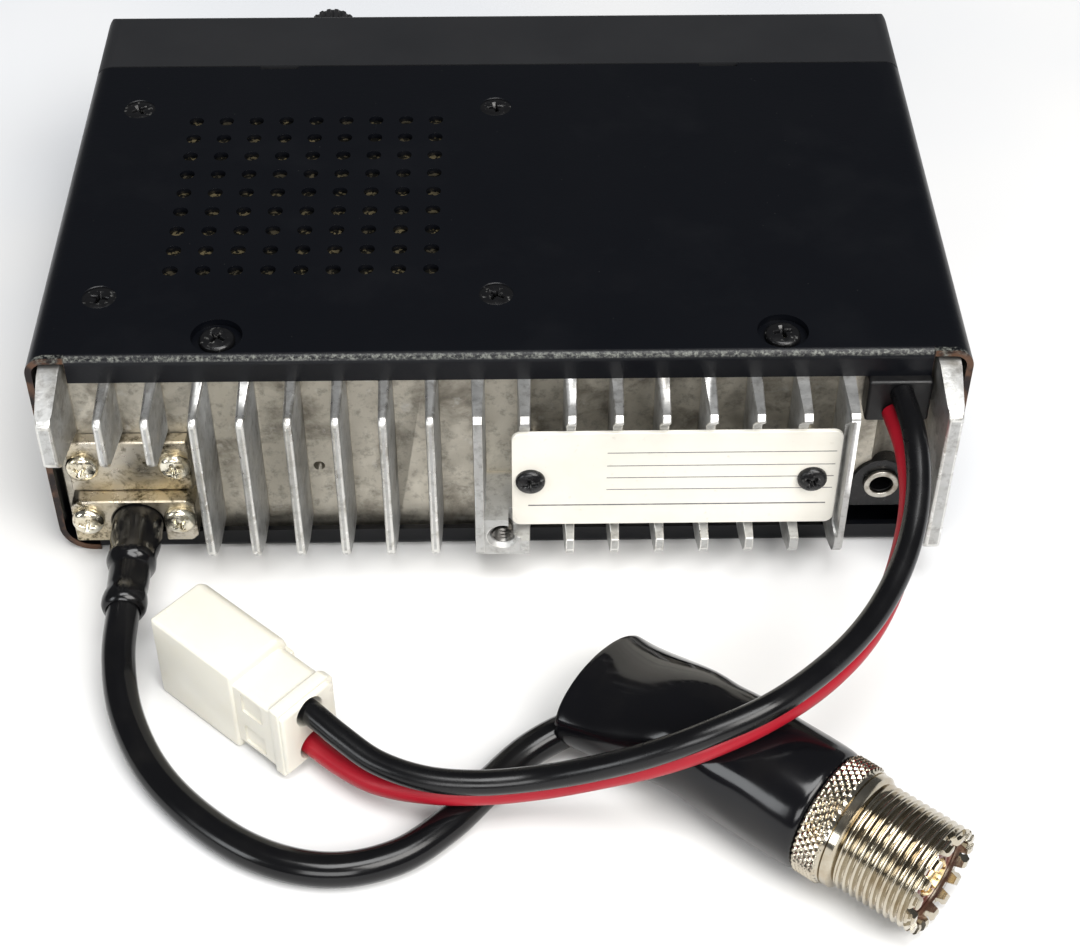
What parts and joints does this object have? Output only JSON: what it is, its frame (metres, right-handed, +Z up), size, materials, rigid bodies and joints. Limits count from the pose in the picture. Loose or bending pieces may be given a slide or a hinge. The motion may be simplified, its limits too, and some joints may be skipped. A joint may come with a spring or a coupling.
{
  "type": "mobile radio transceiver",
  "caption": "Compact vehicle radio transceiver with a steel case, finned rear heat sink, front controls, an antenna lead and a power lead.",
  "frame": {"origin": "centre of the underside of the box around the radio without its leads, on the surface it stands on", "axes": "+X to the right seen from the front, +Y to the rear (heat sink), +Z up"},
  "size_m": [0.14, 0.187, 0.04],
  "materials": {
    "cover_paint": "satin black paint with a fine texture",
    "cast_aluminium": "raw die casting, mottled",
    "black_screw": "blackened steel",
    "speaker_mesh": "woven dust screen",
    "speaker_steel": "zinc-plated pressing",
    "cone_paper": "pressed paper cone",
    "magnet": "ferrite and steel pot",
    "plate_white": "matt printed aluminium plate",
    "clamp_nickel": "tarnished nickel plate",
    "screw_nickel": "bright nickel plate",
    "boot_vinyl": "heat-shrunk sleeve",
    "coax_jacket": "glossy PVC jacket",
    "sleeve_vinyl": "glossy soft vinyl",
    "connector_nickel": "bright nickel plate",
    "phenolic": "red-brown moulded insulator",
    "contact_gold": "plated contact",
    "grommet_rubber": "moulded rubber",
    "wire_black": "PVC insulation",
    "wire_red": "PVC insulation",
    "white_nylon": "translucent natural nylon",
    "jack_plastic": "moulded plastic",
    "jack_ring": "nickel plate, dulled",
    "panel_plastic": "fine-grained charcoal moulding",
    "window": "smoked clear window",
    "display": "amber backlit liquid crystal panel",
    "circuit_board": "solder-masked laminate",
    "switch_plastic": "moulded plastic",
    "knob_plastic": "fluted moulding, worn",
    "control_steel": "plated steel",
    "key_plastic": "moulded key caps",
    "mic_metal": "satin nickel plate",
    "mic_plastic": "moulded insulator",
    "shield_tin": "tinned steel",
    "module_metal": "flange and cap",
    "ribbon": "flat cable and socket"
  },
  "bodies": {
    "radio": {"top_cover": "cover_paint", "bottom_cover": "cover_paint", "chassis": "cast_aluminium", "heat_sink": "cast_aluminium", "top_cover_screws": "black_screw", "bottom_cover_screws": "black_screw", "speaker_screws": "black_screw", "speaker_mesh": "speaker_mesh", "speaker_frame": "speaker_steel", "speaker_cone": "cone_paper", "speaker_magnet": "magnet", "name_plate": "plate_white", "name_plate_screws": "black_screw", "antenna_clamp_upper": "clamp_nickel", "antenna_clamp_lower": "clamp_nickel", "antenna_clamp_screws": "screw_nickel", "antenna_boot": "boot_vinyl", "antenna_cable": "coax_jacket", "antenna_sleeve": "sleeve_vinyl", "uhf_ring": "connector_nickel", "uhf_shell": "connector_nickel", "uhf_insulator": "phenolic", "uhf_contact": "contact_gold", "power_grommet": "grommet_rubber", "power_wire_black": "wire_black", "power_wire_red": "wire_red", "power_connector": "white_nylon", "power_contacts": "contact_gold", "speaker_jack": "jack_plastic", "speaker_jack_ring": "jack_ring", "front_panel": "panel_plastic", "display_lens": "window", "lcd_module": "display", "display_board": "circuit_board", "panel_switches": "switch_plastic", "tuning_encoder": "control_steel", "volume_pot": "control_steel", "squelch_pot": "control_steel", "mic_shell": "mic_metal", "mic_insert": "mic_plastic", "mic_pins": "contact_gold", "main_board": "circuit_board", "rf_board": "circuit_board", "vco_shield": "shield_tin", "pa_module": "module_metal", "ribbon_cable": "ribbon"},
    "tuning": {"tuning_knob": "knob_plastic", "tuning_shaft": "control_steel"},
    "volume": {"volume_knob": "knob_plastic", "volume_shaft": "control_steel"},
    "squelch": {"squelch_knob": "knob_plastic", "squelch_shaft": "control_steel"},
    "power": {"power_button": "key_plastic"},
    "key1": {"key_1": "key_plastic"},
    "key2": {"key_2": "key_plastic"},
    "key3": {"key_3": "key_plastic"},
    "key4": {"key_4": "key_plastic"},
    "key5": {"key_5": "key_plastic"}
  },
  "joints": [
    {"name": "tuning_turn", "type": "hinge", "parent": "radio", "child": "tuning", "pos_m": [0.053, -0.045, 0.019], "axis": [0, 1, 0], "continuous": true},
    {"name": "volume_turn", "type": "hinge", "parent": "radio", "child": "volume", "pos_m": [0.031, -0.045, 0.028], "axis": [0, 1, 0], "range_deg": [-150, 150]},
    {"name": "squelch_turn", "type": "hinge", "parent": "radio", "child": "squelch", "pos_m": [0.031, -0.045, 0.0115], "axis": [0, 1, 0], "range_deg": [-150, 150]},
    {"name": "power_press", "type": "slide", "parent": "radio", "child": "power", "axis": [0, 1, 0], "range_m": [0, 0.002], "stiffness_N_per_m": 400, "springref_m": -0.002},
    {"name": "key1_press", "type": "slide", "parent": "radio", "child": "key1", "axis": [0, 1, 0], "range_m": [0, 0.0005], "stiffness_N_per_m": 1500, "springref_m": -0.0004},
    {"name": "key2_press", "type": "slide", "parent": "radio", "child": "key2", "axis": [0, 1, 0], "range_m": [0, 0.0005], "stiffness_N_per_m": 1500, "springref_m": -0.0004},
    {"name": "key3_press", "type": "slide", "parent": "radio", "child": "key3", "axis": [0, 1, 0], "range_m": [0, 0.0005], "stiffness_N_per_m": 1500, "springref_m": -0.0004},
    {"name": "key4_press", "type": "slide", "parent": "radio", "child": "key4", "axis": [0, 1, 0], "range_m": [0, 0.0005], "stiffness_N_per_m": 1500, "springref_m": -0.0004},
    {"name": "key5_press", "type": "slide", "parent": "radio", "child": "key5", "axis": [0, 1, 0], "range_m": [0, 0.0005], "stiffness_N_per_m": 1500, "springref_m": -0.0004}
  ]
}
